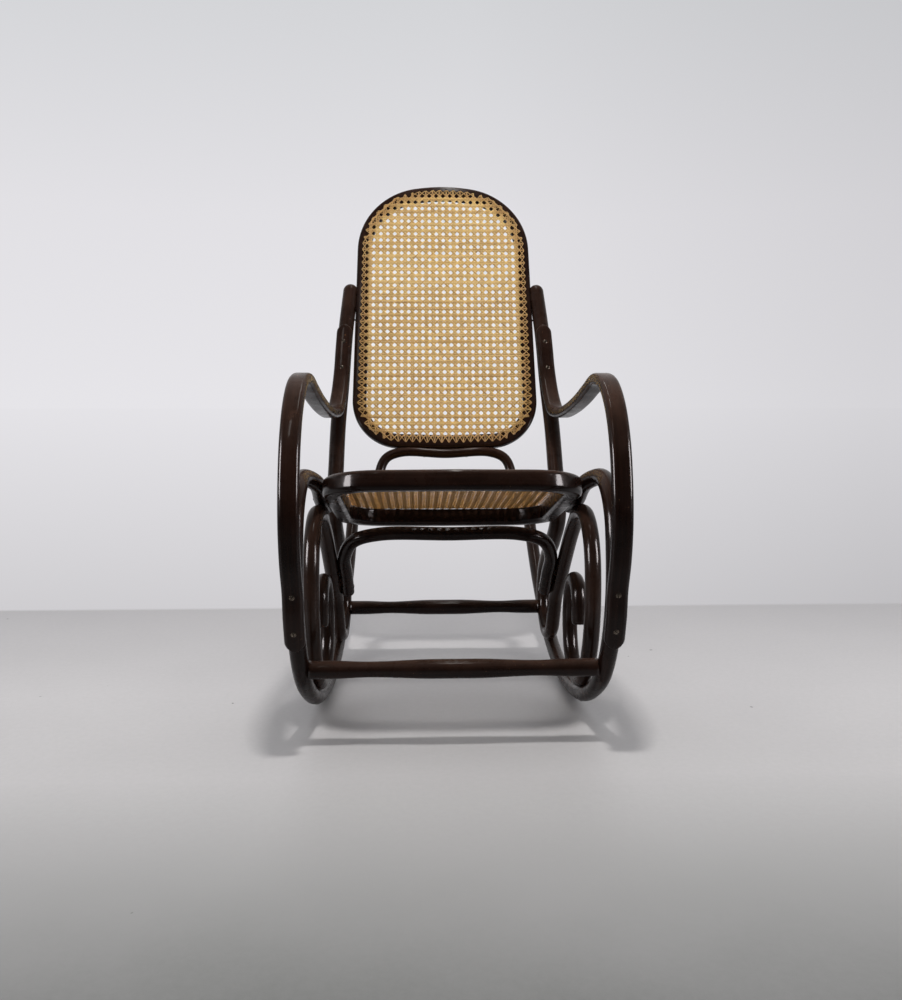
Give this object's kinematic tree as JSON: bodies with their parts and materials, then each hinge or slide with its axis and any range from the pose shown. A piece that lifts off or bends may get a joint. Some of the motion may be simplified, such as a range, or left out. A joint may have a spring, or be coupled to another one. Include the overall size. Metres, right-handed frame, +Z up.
{
  "type": "rocking chair",
  "caption": "Bentwood rocking chair with scrolled side frames on curved runners, looped arms, and a caned seat and tall caned back.",
  "frame": {"origin": "on the floor, at the middle of the chair seen from above, between the front of the arms and the tails of the runners", "axes": "+X to the left side of a person who sits, -Y out of the front, +Z up"},
  "size_m": [0.5528, 1.0101, 1.0674],
  "materials": {
    "lacquered_beech": "glossy dark brown lacquer over bent beech, worn lighter on the arms",
    "split_cane": "split rattan cane, honey coloured, six-way octagonal weave",
    "screw_steel": "dulled slotted steel heads"
  },
  "bodies": {
    "root": {"seat_ring": "lacquered_beech", "back_frame": "lacquered_beech", "back_arch": "lacquered_beech", "under_seat_arch": "lacquered_beech", "front_stretcher": "lacquered_beech", "rear_stretcher": "lacquered_beech", "seat_cane": "split_cane", "back_cane": "split_cane", "left_runner": "lacquered_beech", "right_runner": "lacquered_beech", "left_scroll": "lacquered_beech", "right_scroll": "lacquered_beech", "left_arm": "lacquered_beech", "right_arm": "lacquered_beech", "left_arm_to_stile_screw_upper": "screw_steel", "right_arm_to_stile_screw_upper": "screw_steel", "left_arm_to_stile_screw_lower": "screw_steel", "right_arm_to_stile_screw_lower": "screw_steel", "left_arm_to_runner_screw_upper": "screw_steel", "right_arm_to_runner_screw_upper": "screw_steel", "left_arm_to_runner_screw_lower": "screw_steel", "right_arm_to_runner_screw_lower": "screw_steel", "left_stile_to_back_screw_upper": "screw_steel", "right_stile_to_back_screw_upper": "screw_steel", "left_stile_to_back_screw_lower": "screw_steel", "right_stile_to_back_screw_lower": "screw_steel", "left_stile_to_seat_screw": "screw_steel", "right_stile_to_seat_screw": "screw_steel", "left_runner_to_seat_screw_front": "screw_steel", "right_runner_to_seat_screw_front": "screw_steel", "left_runner_to_seat_screw_rear": "screw_steel", "right_runner_to_seat_screw_rear": "screw_steel", "left_loop_to_runner_screw": "screw_steel", "right_loop_to_runner_screw": "screw_steel", "left_turn_to_runner_screw": "screw_steel", "right_turn_to_runner_screw": "screw_steel", "left_scroll_to_runner_screw": "screw_steel", "right_scroll_to_runner_screw": "screw_steel", "left_under_arch_screw": "screw_steel", "right_under_arch_screw": "screw_steel", "left_back_arch_screw": "screw_steel", "right_back_arch_screw": "screw_steel"}
  },
  "joints": []
}
